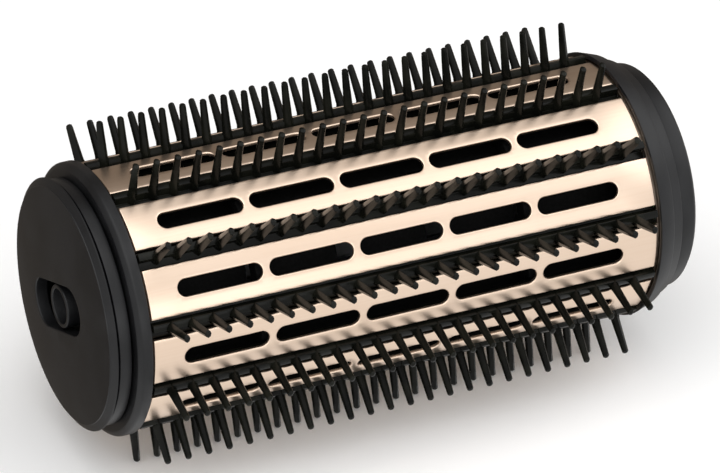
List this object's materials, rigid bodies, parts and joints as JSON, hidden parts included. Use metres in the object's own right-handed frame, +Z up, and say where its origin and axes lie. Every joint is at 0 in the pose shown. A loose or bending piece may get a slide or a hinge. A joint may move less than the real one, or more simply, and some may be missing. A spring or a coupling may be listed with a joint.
{
  "type": "thermal round barrel brush head",
  "caption": "Round hot-air brush head: a vented metal barrel with rows of bristle strips, a free-turning domed tip cap and a bayonet coupling.",
  "frame": {"origin": "centre of the bounding box at its bottom, where the lowest bristle tips touch the surface it lies on", "axes": "+X along the barrel from the tip cap to the coupling, +Z up, so the barrel lies level on two rows of bristle tips"},
  "size_m": [0.0926, 0.0488, 0.0488],
  "materials": {
    "champagne_gold": "champagne-gold ceramic coated aluminium, satin with a fine lengthwise grain",
    "gloss_black": "heat-proof moulded nylon, glossy black with a slight olive cast",
    "satin_black": "moulded plastic, satin black",
    "inner_black": "moulded heat-proof plastic, plain black",
    "steel": "turned steel",
    "acetal": "natural acetal",
    "seal_rubber": "moulded silicone rubber"
  },
  "bodies": {
    "coupling": {"coupling_housing": "satin_black", "bearing_bush": "acetal", "locking_ring": "satin_black", "air_seal": "seal_rubber"},
    "barrel": {"heat_barrel": "champagne_gold", "front_collar": "satin_black", "front_hub": "inner_black", "rear_hub": "inner_black", "support_ring_1": "inner_black", "support_ring_2": "inner_black", "inner_sleeve": "inner_black", "drive_shaft": "steel", "drive_pin": "steel", "drive_socket": "steel", "retaining_ring": "steel", "tip_axle": "satin_black", "hub_screw": "steel", "bristle_strip_01": "gloss_black", "bristle_strip_02": "gloss_black", "bristle_strip_03": "gloss_black", "bristle_strip_04": "gloss_black", "bristle_strip_05": "gloss_black", "bristle_strip_06": "gloss_black", "bristle_strip_07": "gloss_black", "bristle_strip_08": "gloss_black", "bristle_strip_09": "gloss_black", "bristle_strip_10": "gloss_black", "bristle_strip_11": "gloss_black", "bristle_strip_12": "gloss_black"},
    "tip": {"tip_cap": "satin_black", "tip_band": "satin_black"}
  },
  "joints": [
    {"name": "barrel_spin", "type": "hinge", "parent": "coupling", "child": "barrel", "pos_m": [0.041, 0, 0.02438], "axis": [1, 0, 0], "continuous": true},
    {"name": "tip_spin", "type": "hinge", "parent": "barrel", "child": "tip", "pos_m": [-0.0443, 0, 0.02438], "axis": [1, 0, 0], "continuous": true}
  ]
}
